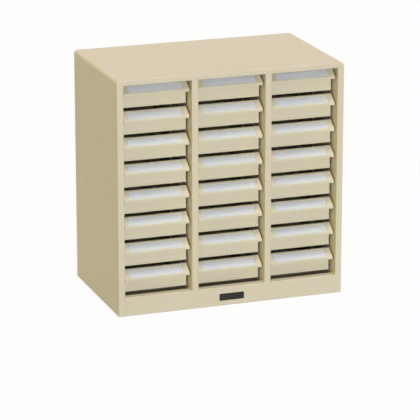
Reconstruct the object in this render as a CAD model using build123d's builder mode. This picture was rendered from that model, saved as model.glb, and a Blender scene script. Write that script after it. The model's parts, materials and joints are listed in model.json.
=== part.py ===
from build123d import *
import os
from math import atan2, cos, degrees, radians, sin, tan

# Small parts cabinet: a folded sheet-steel case with three columns of eight moulded drawers.
# Millimetres. +X is the cabinet's right as seen from the front, the front faces -Y, +Z is up.
# The origin is the centre of the footprint on the floor, with the nameplate counted in.
# Columns are a, b, c from left to right, and rows are 1 to 8 from top to bottom.

# Layout
COLUMNS = "abc"
ROWS = 8

# Drawer: a moulded tray whose front carries a sloping label hood that is also the pull
DRAWER_WIDTH = 168.0
DRAWER_HEIGHT = 59.1
DRAWER_LENGTH = 307.0
TRAY_HEIGHT = 54.0
TRAY_INSET = 1.5
TRAY_WALL = 1.8
TRAY_FLOOR = 2.0
TRAY_CORNER = 5.0
DRAFT = 1.5
RIM_WIDTH = 1.2
RIM_HEIGHT = 2.5
FRONT_WALL = 2.4
BEAD_HEIGHT = 3.6
BEAD_DEPTH = 1.0

# Hood on the drawer front
HOOD_STEP = 2.0
HOOD_DROP = 17.5
HOOD_WALL = 2.4
CHEEK_WALL = 2.2
LIP_HEIGHT = 6.5
LIP_SETBACK = 10.0
LIP_ROUND = 1.2

# Label: a card under a clear window, both let into the hood's slope
LABEL_WIDTH = 139.0
LABEL_LENGTH = 24.5
LABEL_TOP_MARGIN = 3.8
LABEL_CLEARANCE = 0.3
CARD_THICKNESS = 0.4
WINDOW_GAP = 0.05
WINDOW_THICKNESS = 1.0

# Partition guides inside the tray
GUIDE_STATIONS = 2
GUIDE_SLOT = 2.0
GUIDE_WIDTH = 1.5
GUIDE_DEPTH = 1.5
GUIDE_DROP = 8.0
GUIDE_ROOT = 0.3

# Travel and its stops
TRAVEL = 240.0
STOP_CLEARANCE = 0.3
LUG_LENGTH = 8.0
LUG_HEIGHT = 9.0
LUG_SIDE_CLEARANCE = 0.8
LUG_ROOT = 1.0

# Runners: an angle of the case's steel under each side of each drawer
RUN_CLEARANCE = 0.3
LEDGE_WIDTH = 20.0
RUNNER_WEB = 14.0
RUNNER_SETBACK = 2.6
EAR_WIDTH = 5.0
EAR_HEIGHT = 8.0

# Gaps around the drawers
SIDE_GAP = 4.0
ROW_GAP = 8.1
SILL_GAP = 3.2
HEAD_GAP = 5.4
FRONT_RECESS = 37.0
REAR_GAP = 9.0

# Case
SHEET = 1.0
STILE_WIDTH = 16.0
TOP_RAIL_HEIGHT = 13.4
PLINTH_HEIGHT = 48.5
FLOOR_DROP = 14.0
CORNER_RADIUS = 9.0
FOLD_RADIUS = 1.5
OPENING_FOLD = 0.8
RETURN_DEPTH = 20.0
REAR_FLANGE = 12.0
FOOT_FLANGE = 20.0
FLOOR_FLANGE = 12.0

# Nameplate on the plinth, left blank
PLATE_WIDTH = 65.0
PLATE_HEIGHT = 18.0
PLATE_THICKNESS = 0.8
PLATE_CENTRE = 22.5
PLATE_CORNER = 1.5

# Case sizes that follow from the drawers and the gaps around them
BAY_WIDTH = DRAWER_WIDTH + 2 * SIDE_GAP
BAY_PITCH = BAY_WIDTH + STILE_WIDTH
ROW_PITCH = DRAWER_HEIGHT + ROW_GAP
BAY_HEIGHT = SILL_GAP + ROWS * DRAWER_HEIGHT + (ROWS - 1) * ROW_GAP + HEAD_GAP
CASE_WIDTH = len(COLUMNS) * BAY_WIDTH + (len(COLUMNS) + 1) * STILE_WIDTH
CASE_HEIGHT = PLINTH_HEIGHT + BAY_HEIGHT + TOP_RAIL_HEIGHT
CASE_DEPTH = FRONT_RECESS + DRAWER_LENGTH + REAR_GAP + 2 * SHEET
BAY_TOP = PLINTH_HEIGHT + BAY_HEIGHT
FLOOR_TOP = PLINTH_HEIGHT - FLOOR_DROP
BAY_SPAN = CASE_WIDTH - 2 * STILE_WIDTH
LINING_TOP = CASE_HEIGHT - SHEET

# The case's front plane and the planes behind it, along Y
FRONT = (PLATE_THICKNESS - CASE_DEPTH) / 2
BACK = FRONT + CASE_DEPTH
BACK_PANEL_FACE = BACK - 2 * SHEET
RETURN_END = FRONT + RETURN_DEPTH

# Drawer sizes, in the drawer's own frame: y = 0 is the case's front plane, z = 0 the drawer's underside
PANEL_BACK = FRONT_RECESS + FRONT_WALL
DRAWER_END = FRONT_RECESS + DRAWER_LENGTH
SPREAD = tan(radians(DRAFT))
RIM_HALF = DRAWER_WIDTH / 2 - TRAY_INSET
FOOT_HALF = RIM_HALF - TRAY_HEIGHT * SPREAD
FOOT_END = DRAWER_END - TRAY_HEIGHT * SPREAD
LIP_BOTTOM = DRAWER_HEIGHT - HOOD_DROP - LIP_HEIGHT
SLOPE_TOP = FRONT_RECESS - HOOD_STEP
SLOPE_RUN = SLOPE_TOP - LIP_SETBACK
SLOPE_ANGLE = atan2(HOOD_DROP, SLOPE_RUN)
POCKET_WIDTH = LABEL_WIDTH + 2 * LABEL_CLEARANCE
POCKET_LENGTH = LABEL_LENGTH + 2 * LABEL_CLEARANCE
POCKET_DEPTH = CARD_THICKNESS + WINDOW_GAP + WINDOW_THICKNESS

# Runner sizes, in the same frame
RUNNER_START = PANEL_BACK + RUNNER_SETBACK
RUNNER_END = FOOT_END + STOP_CLEARANCE + EAR_HEIGHT * SPREAD + SHEET
LEDGE_TOP = -RUN_CLEARANCE
LUG_FACE = RUNNER_START + SHEET + STOP_CLEARANCE + TRAVEL
LUG_HALF = BAY_WIDTH / 2 - SHEET - LUG_SIDE_CLEARANCE

LOW = (Align.CENTER, Align.MIN, Align.MIN)
MIDDLE_UP = (Align.CENTER, Align.CENTER, Align.MIN)


def column_x(column):
    """Centre of a column of drawers."""
    return (column - (len(COLUMNS) - 1) / 2) * BAY_PITCH


def row_z(row):
    """Underside of the drawers in a row, counted from the top."""
    return PLINTH_HEIGHT + SILL_GAP + (ROWS - 1 - row) * ROW_PITCH


def slope_plane(depth):
    """The plane of the hood's slope, centred on the label and sunk by a depth below the surface."""
    along = LABEL_TOP_MARGIN + POCKET_LENGTH / 2
    normal = Vector(0, -sin(SLOPE_ANGLE), cos(SLOPE_ANGLE))
    y = SLOPE_TOP - along * cos(SLOPE_ANGLE)
    z = DRAWER_HEIGHT - along * sin(SLOPE_ANGLE)
    return Plane(origin=Vector(0, y, z) - normal * depth, x_dir=(1, 0, 0), z_dir=normal)


def tray_outline(height, half_width, start, end, corner):
    """A level outline of the tray, with its two rear corners cut off."""
    with BuildSketch(Plane.XY.offset(height)) as outline:
        with Locations((0, start)):
            Rectangle(2 * half_width, end - start, align=(Align.CENTER, Align.MIN))
        chamfer(outline.vertices().group_by(Axis.Y)[-1], length=corner)
    return outline.sketch


def make_drawer():
    """One drawer: a drafted tray with a rim, a front wall with a bead, and the hood."""
    with BuildPart() as drawer:
        # Tray body, widening upwards by the mould's draft
        foot = tray_outline(0, FOOT_HALF, PANEL_BACK, FOOT_END, TRAY_CORNER)
        extrude(foot, amount=TRAY_HEIGHT, taper=-DRAFT)

        # Rim around the top of the tray
        rim_half = RIM_HALF + RIM_WIDTH
        rim_end = DRAWER_END + RIM_WIDTH
        rim = tray_outline(TRAY_HEIGHT - RIM_HEIGHT, rim_half, PANEL_BACK, rim_end, TRAY_CORNER)
        extrude(rim, amount=RIM_HEIGHT)

        # Hollow, with the same draft as the outside
        hollow_height = TRAY_HEIGHT - TRAY_FLOOR
        hollow_half = FOOT_HALF + TRAY_FLOOR * SPREAD - TRAY_WALL
        hollow_start = PANEL_BACK + hollow_height * SPREAD
        hollow_end = FOOT_END + TRAY_FLOOR * SPREAD - TRAY_WALL
        hollow_corner = TRAY_CORNER - TRAY_WALL
        hollow = tray_outline(TRAY_FLOOR, hollow_half, hollow_start, hollow_end, hollow_corner)
        extrude(hollow, amount=hollow_height, taper=-DRAFT, mode=Mode.SUBTRACT)

        # Front wall, with a half-round bead along its lower edge
        with BuildSketch(Plane.YZ):
            with BuildLine():
                Polyline(
                    (FRONT_RECESS, 0),
                    (PANEL_BACK, 0),
                    (PANEL_BACK, DRAWER_HEIGHT),
                    (FRONT_RECESS, DRAWER_HEIGHT),
                    (FRONT_RECESS, BEAD_HEIGHT),
                )
                ThreePointArc(
                    (FRONT_RECESS, BEAD_HEIGHT),
                    (FRONT_RECESS - BEAD_DEPTH, BEAD_HEIGHT / 2),
                    (FRONT_RECESS, 0),
                )
            make_face()
        extrude(amount=DRAWER_WIDTH / 2, both=True)

        # Hood: a wedge from the slope down to the lip, rounded where they meet
        with BuildSketch(Plane.YZ) as hood_profile:
            with BuildLine():
                Polyline(
                    (LIP_SETBACK, LIP_BOTTOM),
                    (PANEL_BACK, LIP_BOTTOM),
                    (PANEL_BACK, DRAWER_HEIGHT),
                    (SLOPE_TOP, DRAWER_HEIGHT),
                    (LIP_SETBACK, DRAWER_HEIGHT - HOOD_DROP),
                    close=True,
                )
            make_face()
            fillet(hood_profile.vertices().group_by(Axis.X)[0].sort_by(Axis.Y)[-1], radius=LIP_ROUND)
        extrude(amount=DRAWER_WIDTH / 2, both=True)

        # Finger space under the hood, closed at both ends by the cheeks
        under = HOOD_WALL / cos(SLOPE_ANGLE)
        lip_back = LIP_SETBACK + HOOD_WALL
        with BuildSketch(Plane.YZ):
            with BuildLine():
                Polyline(
                    (lip_back, LIP_BOTTOM),
                    (FRONT_RECESS, LIP_BOTTOM),
                    (FRONT_RECESS, DRAWER_HEIGHT - under + HOOD_STEP * tan(SLOPE_ANGLE)),
                    (lip_back, DRAWER_HEIGHT - under - (SLOPE_TOP - lip_back) * tan(SLOPE_ANGLE)),
                    close=True,
                )
            make_face()
        extrude(amount=DRAWER_WIDTH / 2 - CHEEK_WALL, both=True, mode=Mode.SUBTRACT)

        # Pocket for the label
        with BuildSketch(slope_plane(0)):
            Rectangle(POCKET_WIDTH, POCKET_LENGTH)
        extrude(amount=-POCKET_DEPTH, mode=Mode.SUBTRACT)

        # Pairs of upright guides that a loose partition slides between
        guide_height = TRAY_HEIGHT - TRAY_FLOOR - GUIDE_DROP
        guide_tip = hollow_half - GUIDE_DEPTH
        guide_root = hollow_half + guide_height * SPREAD + GUIDE_ROOT
        station_pitch = (hollow_end - hollow_start) / (GUIDE_STATIONS + 1)
        spread_x = guide_tip + guide_root
        first_station = hollow_start + (hollow_end - hollow_start) / 2
        with Locations((0, first_station, TRAY_FLOOR)):
            with GridLocations(0, station_pitch, 1, GUIDE_STATIONS):
                with GridLocations(spread_x, GUIDE_SLOT + GUIDE_WIDTH, 2, 2):
                    Box(guide_root - guide_tip, GUIDE_WIDTH, guide_height, align=MIDDLE_UP)

        # Stop lugs that meet the front ears of the runners
        lug_root = FOOT_HALF - LUG_ROOT
        with Locations((0, LUG_FACE, 0)):
            with GridLocations(lug_root + LUG_HALF, 0, 2, 1):
                Box(LUG_HALF - lug_root, LUG_LENGTH, LUG_HEIGHT, align=LOW)
    return drawer.part


def make_label():
    """A card on the floor of the label pocket and a clear window over it."""
    with BuildPart() as label:
        with BuildSketch(slope_plane(POCKET_DEPTH)):
            Rectangle(LABEL_WIDTH, LABEL_LENGTH)
        extrude(amount=CARD_THICKNESS)
        with BuildSketch(slope_plane(WINDOW_THICKNESS)):
            Rectangle(LABEL_WIDTH, LABEL_LENGTH)
        extrude(amount=WINDOW_THICKNESS)
    return label.part


def make_runner_pair():
    """The two runners of a drawer: angles with a stop ear turned up at each end."""
    wall = BAY_WIDTH / 2
    length = RUNNER_END - RUNNER_START
    with BuildPart() as runner:
        with BuildSketch(Plane.XZ.offset(-RUNNER_START)):
            with BuildLine():
                Polyline(
                    (wall - LEDGE_WIDTH, LEDGE_TOP - SHEET),
                    (wall, LEDGE_TOP - SHEET),
                    (wall, LEDGE_TOP + RUNNER_WEB),
                    (wall - SHEET, LEDGE_TOP + RUNNER_WEB),
                    (wall - SHEET, LEDGE_TOP),
                    (wall - LEDGE_WIDTH, LEDGE_TOP),
                    close=True,
                )
            make_face()
        extrude(amount=-length)
        with Locations((wall - SHEET - EAR_WIDTH / 2, RUNNER_START, LEDGE_TOP)):
            Box(EAR_WIDTH, SHEET, EAR_HEIGHT, align=LOW)
        rear_ear = LEDGE_WIDTH - SHEET
        with Locations((wall - SHEET - rear_ear / 2, RUNNER_END - SHEET, LEDGE_TOP)):
            Box(rear_ear, SHEET, EAR_HEIGHT, align=LOW)
        mirror(about=Plane.YZ)
    return runner.part


def make_column_runners(pair, column):
    """The runners of one column, a pair for each row."""
    with BuildPart() as runners:
        with Locations([(column_x(column), FRONT, row_z(row)) for row in range(ROWS)]):
            add(pair)
    return runners.part


def make_placed(piece, column, row):
    """A copy of a drawer's piece at its place in the case."""
    with BuildPart() as placed:
        with Locations((column_x(column), FRONT, row_z(row))):
            add(piece)
    return placed.part


def make_outer_shell():
    """Top and both sides in one wrap, with the stiles, the top rail and the flanges folded in."""
    with BuildPart() as shell:
        # The wrap's outline, rolled at the two top corners, closed for now at the front and back
        with BuildSketch(Plane.XZ.offset(-FRONT)) as outline:
            with Locations((0, CASE_HEIGHT / 2)):
                Rectangle(CASE_WIDTH, CASE_HEIGHT)
            fillet(outline.vertices().group_by(Axis.Y)[-1], radius=CORNER_RADIUS)
        extrude(amount=-CASE_DEPTH)
        with BuildSketch(Plane.XZ.offset(-FRONT - SHEET)) as inside:
            with Locations((0, (CASE_HEIGHT - SHEET) / 2)):
                Rectangle(CASE_WIDTH - 2 * SHEET, CASE_HEIGHT - SHEET)
            fillet(inside.vertices().group_by(Axis.Y)[-1], radius=CORNER_RADIUS - SHEET)
        extrude(amount=2 * SHEET - CASE_DEPTH, mode=Mode.SUBTRACT)

        # Folded return around the front opening, then the opening itself
        with BuildSketch(Plane.XZ.offset(-FRONT - SHEET)):
            with Locations((0, (BAY_TOP + SHEET) / 2)):
                Rectangle(BAY_SPAN + 2 * SHEET, BAY_TOP + SHEET)
        extrude(amount=SHEET - RETURN_DEPTH)
        with BuildSketch(Plane.XZ.offset(-FRONT)):
            with Locations((0, BAY_TOP / 2)):
                Rectangle(BAY_SPAN, BAY_TOP)
        extrude(amount=-RETURN_DEPTH, mode=Mode.SUBTRACT)

        # Opening at the back, which leaves a flange that the back panel is fixed to
        rear_height = CASE_HEIGHT - REAR_FLANGE
        with BuildSketch(Plane.XZ.offset(-BACK)):
            with Locations((0, rear_height / 2)):
                Rectangle(CASE_WIDTH - 2 * REAR_FLANGE, rear_height)
        extrude(amount=SHEET, mode=Mode.SUBTRACT)

        # Flanges along the foot of both sides, which the case stands on
        foot_length = CASE_DEPTH - 2 * (RETURN_DEPTH + FOOT_FLANGE)
        foot_spread = CASE_WIDTH - 2 * SHEET - FOOT_FLANGE
        with Locations((0, (FRONT + BACK) / 2, 0)):
            with GridLocations(foot_spread, 0, 2, 1):
                Box(FOOT_FLANGE, foot_length, SHEET, align=MIDDLE_UP)

        # Rounded folds around the outside of the front and around its opening
        front_face = shell.faces().sort_by(Axis.Y)[0]
        folds = [e for e in front_face.edges() if e.center().Z > SHEET]
        outer = [e for e in folds if abs(e.center().X) > BAY_SPAN / 2 + SHEET or e.center().Z > LINING_TOP]
        opening = [e for e in folds if e not in outer]
        fillet(outer, radius=FOLD_RADIUS)
        fillet(opening, radius=OPENING_FOLD)
    return shell.part


def make_divider(x):
    """A folded channel between two columns: its face is a stile, its webs carry the runners."""
    with BuildPart() as divider:
        with BuildSketch(Plane.XY.offset(PLINTH_HEIGHT)) as section:
            with Locations((x, FRONT)):
                Rectangle(STILE_WIDTH, BACK_PANEL_FACE - FRONT, align=(Align.CENTER, Align.MIN))
            fillet(section.vertices().group_by(Axis.Y)[0], radius=OPENING_FOLD)
            with Locations((x, FRONT + SHEET)):
                Rectangle(
                    STILE_WIDTH - 2 * SHEET,
                    BACK_PANEL_FACE - FRONT - SHEET,
                    align=(Align.CENTER, Align.MIN),
                    mode=Mode.SUBTRACT,
                )
        extrude(amount=BAY_HEIGHT)

        # Behind the top rail and the plinth the webs run on, up to the top and down to the floor
        web_length = BACK_PANEL_FACE - RETURN_END
        for start, end in ((BAY_TOP, LINING_TOP), (FLOOR_TOP, PLINTH_HEIGHT)):
            with Locations((x, RETURN_END + web_length / 2, start)):
                with GridLocations(STILE_WIDTH - SHEET, 0, 2, 1):
                    Box(SHEET, web_length, end - start, align=MIDDLE_UP)
    return divider.part


def make_liner(side):
    """The runner wall inside one side of the case, a pan with its flanges turned outwards."""
    length = BACK_PANEL_FACE - RETURN_END
    flange = STILE_WIDTH - SHEET
    inner = side * BAY_SPAN / 2
    outer = side * (BAY_SPAN / 2 + flange)
    web = side * (BAY_SPAN / 2 + SHEET)
    with BuildPart() as liner:
        with BuildSketch(Plane.XZ.offset(-RETURN_END)):
            with BuildLine():
                Polyline(
                    (inner, FLOOR_TOP),
                    (outer, FLOOR_TOP),
                    (outer, FLOOR_TOP + SHEET),
                    (web, FLOOR_TOP + SHEET),
                    (web, LINING_TOP),
                    (inner, LINING_TOP),
                    close=True,
                )
            make_face()
        extrude(amount=-length)
        with Locations(((web + outer) / 2, BACK_PANEL_FACE - SHEET / 2, FLOOR_TOP + SHEET)):
            Box(abs(outer - web), SHEET, BAY_TOP - FLOOR_TOP - SHEET, align=MIDDLE_UP)
    return liner.part


def make_base_rail():
    """The plinth below the drawers, a channel whose top turns down behind to carry the floor."""
    with BuildPart() as rail:
        with BuildSketch(Plane.YZ) as section:
            with Locations((FRONT, 0)):
                Rectangle(RETURN_DEPTH, PLINTH_HEIGHT, align=(Align.MIN, Align.MIN))
            fillet(section.vertices().group_by(Axis.X)[0], radius=FOLD_RADIUS)
            with Locations((FRONT + SHEET, SHEET)):
                Rectangle(
                    RETURN_DEPTH - 2 * SHEET,
                    PLINTH_HEIGHT - 2 * SHEET,
                    align=(Align.MIN, Align.MIN),
                    mode=Mode.SUBTRACT,
                )
            with Locations((RETURN_END, SHEET)):
                Rectangle(
                    SHEET,
                    FLOOR_TOP - FLOOR_FLANGE - SHEET,
                    align=(Align.MAX, Align.MIN),
                    mode=Mode.SUBTRACT,
                )
        extrude(amount=BAY_SPAN / 2, both=True)
    return rail.part


def make_floor_panel():
    """The case's floor, behind and below the top of the plinth, with its edges turned down."""
    width = CASE_WIDTH - 2 * SHEET
    length = BACK_PANEL_FACE - RETURN_END
    with BuildPart() as panel:
        with Locations((0, RETURN_END, FLOOR_TOP - FLOOR_FLANGE)):
            Box(width, length, FLOOR_FLANGE, align=LOW)
        with Locations((0, RETURN_END + SHEET, FLOOR_TOP - FLOOR_FLANGE)):
            Box(width - 2 * SHEET, length - 2 * SHEET, FLOOR_FLANGE - SHEET, align=LOW, mode=Mode.SUBTRACT)
    return panel.part


def make_back_panel():
    """The back, inside the shell's rear flange, with its foot turned forwards."""
    width = CASE_WIDTH - 2 * SHEET
    with BuildPart() as panel:
        with BuildSketch(Plane.XZ.offset(-BACK_PANEL_FACE)) as outline:
            with Locations((0, LINING_TOP / 2)):
                Rectangle(width, LINING_TOP)
            fillet(outline.vertices().group_by(Axis.Y)[-1], radius=CORNER_RADIUS - SHEET)
        extrude(amount=-SHEET)
        with Locations((0, BACK_PANEL_FACE - FOOT_FLANGE / 2, 0)):
            Box(BAY_SPAN, FOOT_FLANGE, SHEET, align=MIDDLE_UP)
    return panel.part


def make_nameplate():
    """A blank plate on the plinth."""
    with BuildPart() as plate:
        with BuildSketch(Plane.XZ.offset(-FRONT)):
            with Locations((0, PLATE_CENTRE)):
                RectangleRounded(PLATE_WIDTH, PLATE_HEIGHT, PLATE_CORNER)
        extrude(amount=PLATE_THICKNESS)
    return plate.part


def write(piece, name):
    """Labels a finished piece and writes it under its name."""
    piece.label = name
    export_step(piece, f"parts/{name}.step")


os.makedirs("parts", exist_ok=True)

write(make_outer_shell(), "outer_shell")
write(make_back_panel(), "back_panel")
write(make_floor_panel(), "floor_panel")
write(make_base_rail(), "base_rail")
write(make_liner(-1), "liner_left")
write(make_liner(1), "liner_right")
write(make_nameplate(), "nameplate")
for index, pair_of_columns in enumerate(zip(COLUMNS, COLUMNS[1:])):
    write(make_divider(column_x(index + 0.5)), "divider_" + "".join(pair_of_columns))

drawer_piece = make_drawer()
label_piece = make_label()
runner_piece = make_runner_pair()
for column_index, column_name in enumerate(COLUMNS):
    write(make_column_runners(runner_piece, column_index), f"runners_{column_name}")
    for row_index in range(ROWS):
        place = f"{column_name}{row_index + 1}"
        write(make_placed(drawer_piece, column_index, row_index), f"drawer_{place}")
        write(make_placed(label_piece, column_index, row_index), f"label_{place}")

print("case", CASE_WIDTH, CASE_DEPTH, CASE_HEIGHT, "slope", round(degrees(SLOPE_ANGLE), 1))
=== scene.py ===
import json
import bmesh
import bpy
from math import atan2, cos, pi, radians, sin
from mathutils import Matrix, Vector


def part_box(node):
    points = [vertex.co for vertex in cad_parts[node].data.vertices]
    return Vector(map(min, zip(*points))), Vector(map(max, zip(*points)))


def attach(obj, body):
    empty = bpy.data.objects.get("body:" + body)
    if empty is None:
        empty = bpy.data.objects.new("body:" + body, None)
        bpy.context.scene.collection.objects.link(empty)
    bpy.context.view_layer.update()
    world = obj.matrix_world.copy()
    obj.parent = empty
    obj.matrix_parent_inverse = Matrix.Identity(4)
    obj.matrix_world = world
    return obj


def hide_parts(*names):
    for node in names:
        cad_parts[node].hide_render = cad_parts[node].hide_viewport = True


# Small parts cabinet: beige enamelled steel case, ivory moulded drawers, white label cards
# under clear windows, and a blank black plate on the plinth. Metres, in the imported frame.

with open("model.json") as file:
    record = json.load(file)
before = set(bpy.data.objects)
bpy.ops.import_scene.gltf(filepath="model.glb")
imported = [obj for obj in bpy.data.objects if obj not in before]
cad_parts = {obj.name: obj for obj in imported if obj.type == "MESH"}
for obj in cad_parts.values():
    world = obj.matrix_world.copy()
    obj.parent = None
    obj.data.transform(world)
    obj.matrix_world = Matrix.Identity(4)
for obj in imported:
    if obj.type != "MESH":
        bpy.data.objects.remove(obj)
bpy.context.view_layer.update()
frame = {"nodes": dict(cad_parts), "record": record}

# Camera, fitted to the corners of the case in the photograph's 420 by 420 frame. It looks from
# AZIMUTH and ELEVATION, and its place is given in widths of the case from the case's centre.
IMAGE_SIZE = 420
FOCAL_PIXELS = 2612.0
SENSOR = 36.0
AZIMUTH = -19.705
ELEVATION = 16.55
DISTANCE_IN_WIDTHS = 11.195
RIGHT_IN_WIDTHS = 0.00918
UP_IN_WIDTHS = -0.1657
CLIP_END = 1000.0

# Strength of the sky, greys of the floor as it lights and as it is seen, and its share of glow
SKY = 0.16
FLOOR_GREY = 0.25
FLOOR_WHITE = 0.95
GLOW_SHARE = 0.92
FLOOR_HALF_SIDE = 60.0
WHITE = (1.0, 1.0, 1.0, 1.0)

# Soft distant lights: name, bearing (0 is straight in front, 90 at the right) and height in
# degrees, strength, width in degrees, colour, and whether glossy surfaces mirror the light
SUNS = (
    ("key", -4.0, 9.0, 2.25, 22.0, (0.97, 0.99, 1.0), False),
    ("above", 0.0, 76.5, 1.16, 17.0, (1.0, 0.99, 0.97), True),
    ("behind", 180.0, 42.0, 1.0, 30.0, (1.0, 0.76, 0.52), False),
    ("right", 100.0, 15.0, 0.75, 30.0, (1.0, 0.9, 0.75), False),
    ("side", -80.0, 12.0, 1.0, 24.0, (1.0, 0.84, 0.22), False),
)

# Slope of the drawers' label hoods, and the card and window that lie in it
SLOPE_RUN = 0.025
SLOPE_DROP = 0.0175
CARD_THICKNESS = 0.0004
WINDOW_THICKNESS = 0.001
LABEL_THICKNESS = 0.00145
CARD_CORNER = 0.0012
CARD_SHRINK = 0.0006
WINDOW_CORNER = 0.0015
WINDOW_EDGE = 0.0003
CORNER_SEGMENTS = 4
EDGE_SEGMENTS = 2

# Rivets through the back panel into the floor panel's rear edge
RIVETS = 6
RIVET_RADIUS = 0.0032
RIVET_HEIGHT = 0.0009
RIVET_RINGS = 5
RIVET_SEGMENTS = 20

# Range in which most of a noise lies, and rays that a rounded edge takes
NOISE_LOW = 0.3
NOISE_HIGH = 0.7
BEVEL_SAMPLES = 6


def material(name, roughness, metallic=0.0):
    """A new material, with its node tree and its shader."""
    made = bpy.data.materials.new(name)
    made.use_nodes = True
    tree = made.node_tree
    shader = tree.nodes["Principled BSDF"]
    shader.inputs["Roughness"].default_value = roughness
    shader.inputs["Metallic"].default_value = metallic
    return made, tree, shader


def new_node(tree, kind, **settings):
    """A shader node with its settings."""
    node = tree.nodes.new(kind)
    for key, value in settings.items():
        setattr(node, key, value)
    return node


def noise(tree, scale, detail=3.0, stretch=(1.0, 1.0, 1.0)):
    """Noise of so many waves per metre, along stretched object axes, from 0 to 1."""
    place = new_node(tree, "ShaderNodeTexCoord")
    mapping = new_node(tree, "ShaderNodeMapping")
    mapping.inputs["Scale"].default_value = stretch
    texture = new_node(tree, "ShaderNodeTexNoise")
    texture.inputs["Scale"].default_value = scale
    texture.inputs["Detail"].default_value = detail
    tree.links.new(place.outputs["Object"], mapping.inputs["Vector"])
    tree.links.new(mapping.outputs["Vector"], texture.inputs["Vector"])
    return texture.outputs["Fac"]


def spread(tree, value, low=0.0, high=1.0):
    """Maps the middle of a noise onto low to high."""
    node = new_node(tree, "ShaderNodeMapRange")
    node.inputs["From Min"].default_value = NOISE_LOW
    node.inputs["From Max"].default_value = NOISE_HIGH
    node.inputs["To Min"].default_value = low
    node.inputs["To Max"].default_value = high
    tree.links.new(value, node.inputs["Value"])
    return node.outputs["Result"]


def blend_colours(tree, factor, first, second):
    """Colour between first and second, each a colour or a socket."""
    mix = new_node(tree, "ShaderNodeMix", data_type="RGBA")
    tree.links.new(factor, mix.inputs["Factor"])
    for socket, colour in ((mix.inputs["A"], first), (mix.inputs["B"], second)):
        if isinstance(colour, bpy.types.NodeSocket):
            tree.links.new(colour, socket)
        else:
            socket.default_value = (*colour, 1.0)
    return mix.outputs["Result"]


def rounded_normal(tree, radius):
    """Normal that rounds the sharp edges over a radius."""
    bevel = new_node(tree, "ShaderNodeBevel", samples=BEVEL_SAMPLES)
    bevel.inputs["Radius"].default_value = radius
    return bevel.outputs["Normal"]


def edge_mask(tree, radius, gain):
    """Near 1 along the edges and 0 on flat faces."""
    geometry = new_node(tree, "ShaderNodeNewGeometry")
    dot = new_node(tree, "ShaderNodeVectorMath", operation="DOT_PRODUCT")
    turned = new_node(tree, "ShaderNodeMath", operation="SUBTRACT")
    turned.inputs[0].default_value = 1.0
    scaled = new_node(tree, "ShaderNodeMath", operation="MULTIPLY", use_clamp=True)
    scaled.inputs[1].default_value = gain
    tree.links.new(rounded_normal(tree, radius), dot.inputs[0])
    tree.links.new(geometry.outputs["Normal"], dot.inputs[1])
    tree.links.new(dot.outputs["Value"], turned.inputs[1])
    tree.links.new(turned.outputs["Value"], scaled.inputs[0])
    return scaled.outputs["Value"]


def bump(tree, height, depth, normal=None):
    """A bump of a depth in metres, over a normal where one is given."""
    node = new_node(tree, "ShaderNodeBump")
    node.inputs["Strength"].default_value = 1.0
    node.inputs["Distance"].default_value = depth
    tree.links.new(height, node.inputs["Height"])
    if normal is not None:
        tree.links.new(normal, node.inputs["Normal"])
    return node.outputs["Normal"]


def vary_roughness(tree, shader, scale, low, high):
    """Lets the roughness wander between low and high, in so many waves per metre."""
    tree.links.new(spread(tree, noise(tree, scale), low, high), shader.inputs["Roughness"])


def enamel():
    """Beige baked enamel: slight colour drift, orange peel, folds paler from wear and a painted
    highlight.
    """
    made, tree, shader = material("enamel", roughness=0.42)
    drift = spread(tree, noise(tree, scale=5.0, detail=2.0))
    colour = blend_colours(tree, drift, (0.631, 0.564, 0.427), (0.651, 0.584, 0.447))
    # Paler colour along the folds: partly wear, partly a painted highlight
    wear_and_painted_highlight = edge_mask(tree, radius=0.0012, gain=1.2)
    colour = blend_colours(tree, wear_and_painted_highlight, colour, (0.69, 0.64, 0.50))
    tree.links.new(colour, shader.inputs["Base Color"])
    vary_roughness(tree, shader, scale=60.0, low=0.38, high=0.48)
    peel = noise(tree, scale=700.0, detail=1.0)
    folds = rounded_normal(tree, radius=0.0008)
    tree.links.new(bump(tree, peel, depth=0.00003, normal=folds), shader.inputs["Normal"])
    return made


def moulding():
    """Ivory moulded plastic: fine grain, faint flow marks along the drawer, softened edges."""
    made, tree, shader = material("moulding", roughness=0.5)
    flow = spread(tree, noise(tree, scale=14.0, stretch=(1.0, 0.25, 1.0)))
    colour = blend_colours(tree, flow, (0.645, 0.590, 0.438), (0.669, 0.614, 0.462))
    # Paler colour along the edges: partly wear, partly a painted highlight
    wear_and_painted_highlight = edge_mask(tree, radius=0.0012, gain=1.4)
    colour = blend_colours(tree, wear_and_painted_highlight, colour, (0.68, 0.65, 0.50))
    tree.links.new(colour, shader.inputs["Base Color"])
    vary_roughness(tree, shader, scale=90.0, low=0.44, high=0.56)
    grain = noise(tree, scale=1600.0, detail=2.0)
    edges = rounded_normal(tree, radius=0.0007)
    tree.links.new(bump(tree, grain, depth=0.00004, normal=edges), shader.inputs["Normal"])
    return made


def card():
    """White card stock with a trace of fibre."""
    made, tree, shader = material("card", roughness=0.8)
    fibre = spread(tree, noise(tree, scale=900.0, detail=6.0, stretch=(1.0, 2.5, 2.5)))
    colour = blend_colours(tree, fibre, (0.67, 0.695, 0.735), (0.70, 0.725, 0.765))
    tree.links.new(colour, shader.inputs["Base Color"])
    tree.links.new(bump(tree, fibre, depth=0.00002), shader.inputs["Normal"])
    return made


def window():
    """Clear moulded plastic, mostly see-through, with fine handling scratches in its gloss."""
    made, tree, shader = material("window", roughness=0.15)
    shader.inputs["Base Color"].default_value = (0.9, 0.91, 0.9, 1.0)
    shader.inputs["Alpha"].default_value = 0.1
    scratches = noise(tree, scale=500.0, detail=4.0, stretch=(0.2, 3.0, 3.0))
    tree.links.new(spread(tree, scratches, low=0.12, high=0.3), shader.inputs["Roughness"])
    return made


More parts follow.
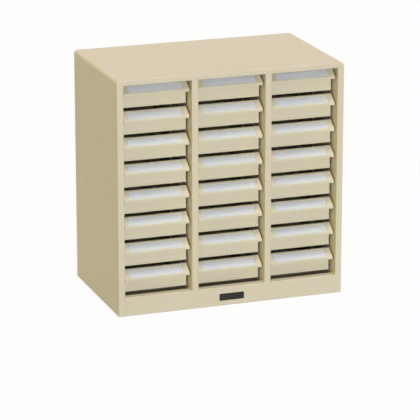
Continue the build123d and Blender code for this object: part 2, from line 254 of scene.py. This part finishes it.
def zinc():
    """Zinc-plated strip, dull and lightly mottled, drawn along its length."""
    made, tree, shader = material("zinc", roughness=0.45, metallic=0.9)
    mottle = spread(tree, noise(tree, scale=120.0, stretch=(1.0, 0.2, 1.0)))
    colour = blend_colours(tree, mottle, (0.27, 0.27, 0.26), (0.37, 0.37, 0.35))
    tree.links.new(colour, shader.inputs["Base Color"])
    vary_roughness(tree, shader, scale=200.0, low=0.48, high=0.62)
    return made


def black_plate():
    """Satin black plate, paler along its edges: partly a rub, partly a painted highlight."""
    made, tree, shader = material("black_plate", roughness=0.4)
    shader.inputs["Specular IOR Level"].default_value = 0.3
    # Paler colour along the edges: partly a rub, partly a painted highlight
    wear_and_painted_highlight = edge_mask(tree, radius=0.0006, gain=1.2)
    dusty = spread(tree, noise(tree, scale=150.0, detail=4.0))
    colour = blend_colours(tree, dusty, (0.015, 0.015, 0.016), (0.022, 0.022, 0.022))
    colour = blend_colours(tree, wear_and_painted_highlight, colour, (0.12, 0.12, 0.12))
    tree.links.new(colour, shader.inputs["Base Color"])
    vary_roughness(tree, shader, scale=250.0, low=0.32, high=0.48)
    tree.links.new(rounded_normal(tree, radius=0.0005), shader.inputs["Normal"])
    return made


def rivet_steel():
    """Dull rivet steel."""
    made, tree, shader = material("rivet_steel", roughness=0.5, metallic=1.0)
    speck = spread(tree, noise(tree, scale=1500.0))
    colour = blend_colours(tree, speck, (0.30, 0.30, 0.30), (0.38, 0.38, 0.37))
    tree.links.new(colour, shader.inputs["Base Color"])
    vary_roughness(tree, shader, scale=900.0, low=0.45, high=0.6)
    return made


def dress_frame(materials):
    """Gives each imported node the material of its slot."""
    for entry in frame["record"]["subparts"]:
        mesh = frame["nodes"][entry["node"]].data
        mesh.materials.clear()
        mesh.materials.append(materials[entry["material_slot"]])


def add_object(name, mesh, made):
    """Links a finished mesh as an object of one material."""
    data = bpy.data.meshes.new(name)
    mesh.to_mesh(data)
    mesh.free()
    data.materials.append(made)
    linked = bpy.data.objects.new(name, data)
    bpy.context.scene.collection.objects.link(linked)
    return linked


def add_piece(name, mesh, made, body):
    """Links a finished mesh as a piece that rides on a body."""
    piece = add_object(name, mesh, made)
    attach(piece, body)
    return piece


def bevel_edges(mesh, edges, offset, segments):
    """Rounds some edges of a mesh."""
    bmesh.ops.bevel(
        mesh, geom=edges, offset=offset, segments=segments, affect="EDGES", profile=0.5
    )


def slab(centre, across, along, size, corner, edge):
    """A thin plate on two axes, with rounded corners, and a rounded upper rim if edge isn't 0."""
    width, length, thickness = size
    normal = across.cross(along)
    turn = Matrix((across, along, normal)).transposed().to_4x4()
    half = thickness / 2
    mesh = bmesh.new()
    bmesh.ops.create_cube(mesh, size=1.0, matrix=Matrix.Diagonal((*size, 1.0)))
    uprights = [e for e in mesh.edges if abs(e.verts[0].co.z - e.verts[1].co.z) > half]
    bevel_edges(mesh, uprights, corner, CORNER_SEGMENTS)
    if edge:
        rim = [e for e in mesh.edges if all(v.co.z > half - edge / 2 for v in e.verts)]
        bevel_edges(mesh, rim, edge, EDGE_SEGMENTS)
    bmesh.ops.transform(mesh, matrix=Matrix.Translation(centre) @ turn, verts=mesh.verts)
    return mesh


def add_labels(card_material, window_material):
    """A card and its window in the slope of every drawer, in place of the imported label."""
    angle = atan2(SLOPE_DROP, SLOPE_RUN)
    across = Vector((1.0, 0.0, 0.0))
    along = Vector((0.0, cos(angle), sin(angle)))
    normal = across.cross(along)
    labels = [n for n in frame["nodes"] if n.startswith("label_")]
    for node in sorted(labels):
        low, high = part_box(node)
        centre = (Vector(low) + Vector(high)) / 2
        width = high[0] - low[0]
        length = (high[1] - low[1] - LABEL_THICKNESS * sin(angle)) / cos(angle)
        body = node.replace("label_", "drawer_")
        place = node.removeprefix("label_")
        size = (width - CARD_SHRINK, length - CARD_SHRINK, CARD_THICKNESS)
        card_centre = centre - normal * (LABEL_THICKNESS - CARD_THICKNESS) / 2
        mesh = slab(card_centre, across, along, size, CARD_CORNER, 0.0)
        piece = add_piece(f"card_{place}", mesh, card_material, body)
        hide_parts(node)
        size = (width, length, WINDOW_THICKNESS)
        window_centre = centre + normal * (LABEL_THICKNESS - WINDOW_THICKNESS) / 2
        mesh = slab(window_centre, across, along, size, WINDOW_CORNER, WINDOW_EDGE)
        add_piece(f"window_{place}", mesh, window_material, body)


def add_dome(mesh, foot, radius, height):
    """A low domed head that stands along +Y on its foot, closed underneath."""
    rings = []
    for i in range(RIVET_RINGS):
        lean = i / RIVET_RINGS * pi / 2
        reach = radius * cos(lean)
        ring = []
        for j in range(RIVET_SEGMENTS):
            turn = j / RIVET_SEGMENTS * 2 * pi
            place = Vector((reach * cos(turn), height * sin(lean), reach * sin(turn)))
            ring.append(mesh.verts.new(foot + place))
        rings.append(ring)
    tip = mesh.verts.new(foot + Vector((0.0, height, 0.0)))
    mesh.faces.new(rings[0])
    for j in range(RIVET_SEGMENTS):
        k = (j + 1) % RIVET_SEGMENTS
        for lower, upper in zip(rings, rings[1:]):
            mesh.faces.new((lower[j], lower[k], upper[k], upper[j]))
        mesh.faces.new((rings[-1][j], rings[-1][k], tip))


def add_rivets(rivet_material):
    """A row of rivet heads along the foot of the back panel."""
    low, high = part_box("back_panel")
    floor_low, floor_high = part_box("floor_panel")
    height = (floor_low[2] + floor_high[2]) / 2
    pitch = (high[0] - low[0]) / RIVETS
    mesh = bmesh.new()
    for i in range(RIVETS):
        foot = Vector((low[0] + (i + 0.5) * pitch, high[1], height))
        add_dome(mesh, foot, RIVET_RADIUS, RIVET_HEIGHT)
    bmesh.ops.recalc_face_normals(mesh, faces=mesh.faces)
    add_piece("back_rivets", mesh, rivet_material, "cabinet")


def seen_directly(tree):
    """1 for rays from the camera, a gloss or a clear window, and 0 for the rays that light."""
    rays = new_node(tree, "ShaderNodeLightPath")
    total = rays.outputs["Is Camera Ray"]
    for kind in ("Is Glossy Ray", "Is Transmission Ray"):
        both = new_node(tree, "ShaderNodeMath", operation="ADD", use_clamp=True)
        tree.links.new(total, both.inputs[0])
        tree.links.new(rays.outputs[kind], both.inputs[1])
        total = both.outputs["Value"]
    return total


def add_floor():
    """A white floor that keeps a faint shadow."""
    made, tree, shader = material("floor", roughness=0.9)
    seen = seen_directly(tree)
    colour = blend_colours(tree, seen, (FLOOR_GREY,) * 3, (FLOOR_WHITE,) * 3)
    tree.links.new(colour, shader.inputs["Base Color"])
    glow = new_node(tree, "ShaderNodeEmission")
    share = new_node(tree, "ShaderNodeMath", operation="MULTIPLY")
    share.inputs[1].default_value = GLOW_SHARE
    mix = new_node(tree, "ShaderNodeMixShader")
    tree.links.new(seen, share.inputs[0])
    tree.links.new(share.outputs["Value"], mix.inputs[0])
    tree.links.new(shader.outputs[0], mix.inputs[1])
    tree.links.new(glow.outputs[0], mix.inputs[2])
    tree.links.new(mix.outputs[0], tree.nodes["Material Output"].inputs["Surface"])
    mesh = bmesh.new()
    bmesh.ops.create_grid(mesh, x_segments=1, y_segments=1, size=FLOOR_HALF_SIDE)
    add_object("floor", mesh, made)


def add_world():
    """A world that lights softly and is seen as white."""
    world = bpy.data.worlds.new("studio")
    bpy.context.scene.world = world
    world.use_nodes = True
    tree = world.node_tree
    soft = tree.nodes["Background"]
    soft.inputs["Strength"].default_value = SKY
    soft.inputs["Color"].default_value = WHITE
    white = new_node(tree, "ShaderNodeBackground")
    white.inputs["Strength"].default_value = 1.0
    white.inputs["Color"].default_value = WHITE
    mix = new_node(tree, "ShaderNodeMixShader")
    tree.links.new(seen_directly(tree), mix.inputs[0])
    tree.links.new(soft.outputs[0], mix.inputs[1])
    tree.links.new(white.outputs[0], mix.inputs[2])
    tree.links.new(mix.outputs[0], tree.nodes["World Output"].inputs["Surface"])


def add_sun(name, bearing, elevation, strength, width, colour, glare):
    """A soft distant light, as listed in SUNS."""
    light = bpy.data.lights.new(name, "SUN")
    light.energy = strength
    light.angle = radians(width)
    light.color = colour
    lamp = bpy.data.objects.new(name, light)
    lamp.visible_glossy = glare
    bpy.context.scene.collection.objects.link(lamp)
    a, e = radians(bearing), radians(elevation)
    towards = Vector((sin(a) * cos(e), -cos(a) * cos(e), sin(e)))
    lamp.rotation_mode = "QUATERNION"
    lamp.rotation_quaternion = towards.to_track_quat("Z", "Y")


def add_camera():
    """The photograph's camera, placed from the box of the case."""
    low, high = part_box("outer_shell")
    width = high[0] - low[0]
    a, e = radians(AZIMUTH), radians(ELEVATION)
    right = Vector((cos(a), sin(a), 0.0))
    back = Vector((sin(a) * cos(e), -cos(a) * cos(e), sin(e)))
    up = back.cross(right)
    centre = (Vector(low) + Vector(high)) / 2
    offset = right * RIGHT_IN_WIDTHS + up * UP_IN_WIDTHS + back * DISTANCE_IN_WIDTHS
    data = bpy.data.cameras.new("camera")
    data.sensor_width = SENSOR
    data.lens = SENSOR * FOCAL_PIXELS / IMAGE_SIZE
    data.clip_end = CLIP_END
    camera = bpy.data.objects.new("camera", data)
    bpy.context.scene.collection.objects.link(camera)
    turn = Matrix((right, up, back)).transposed().to_4x4()
    camera.matrix_world = Matrix.Translation(centre + offset * width) @ turn
    bpy.context.scene.camera = camera


zinc_material = zinc()
card_material = card()
window_material = window()
dress_frame(
    {
        "case_paint": enamel(),
        "drawer_plastic": moulding(),
        "label_card": card_material,
        "label_window": window_material,
        "runner_zinc": zinc_material,
        "plate_black": black_plate(),
    }
)
add_labels(card_material, window_material)
add_rivets(rivet_steel())
add_floor()
add_world()
for sun in SUNS:
    add_sun(*sun)
add_camera()
bpy.context.scene.view_settings.view_transform = "Standard"
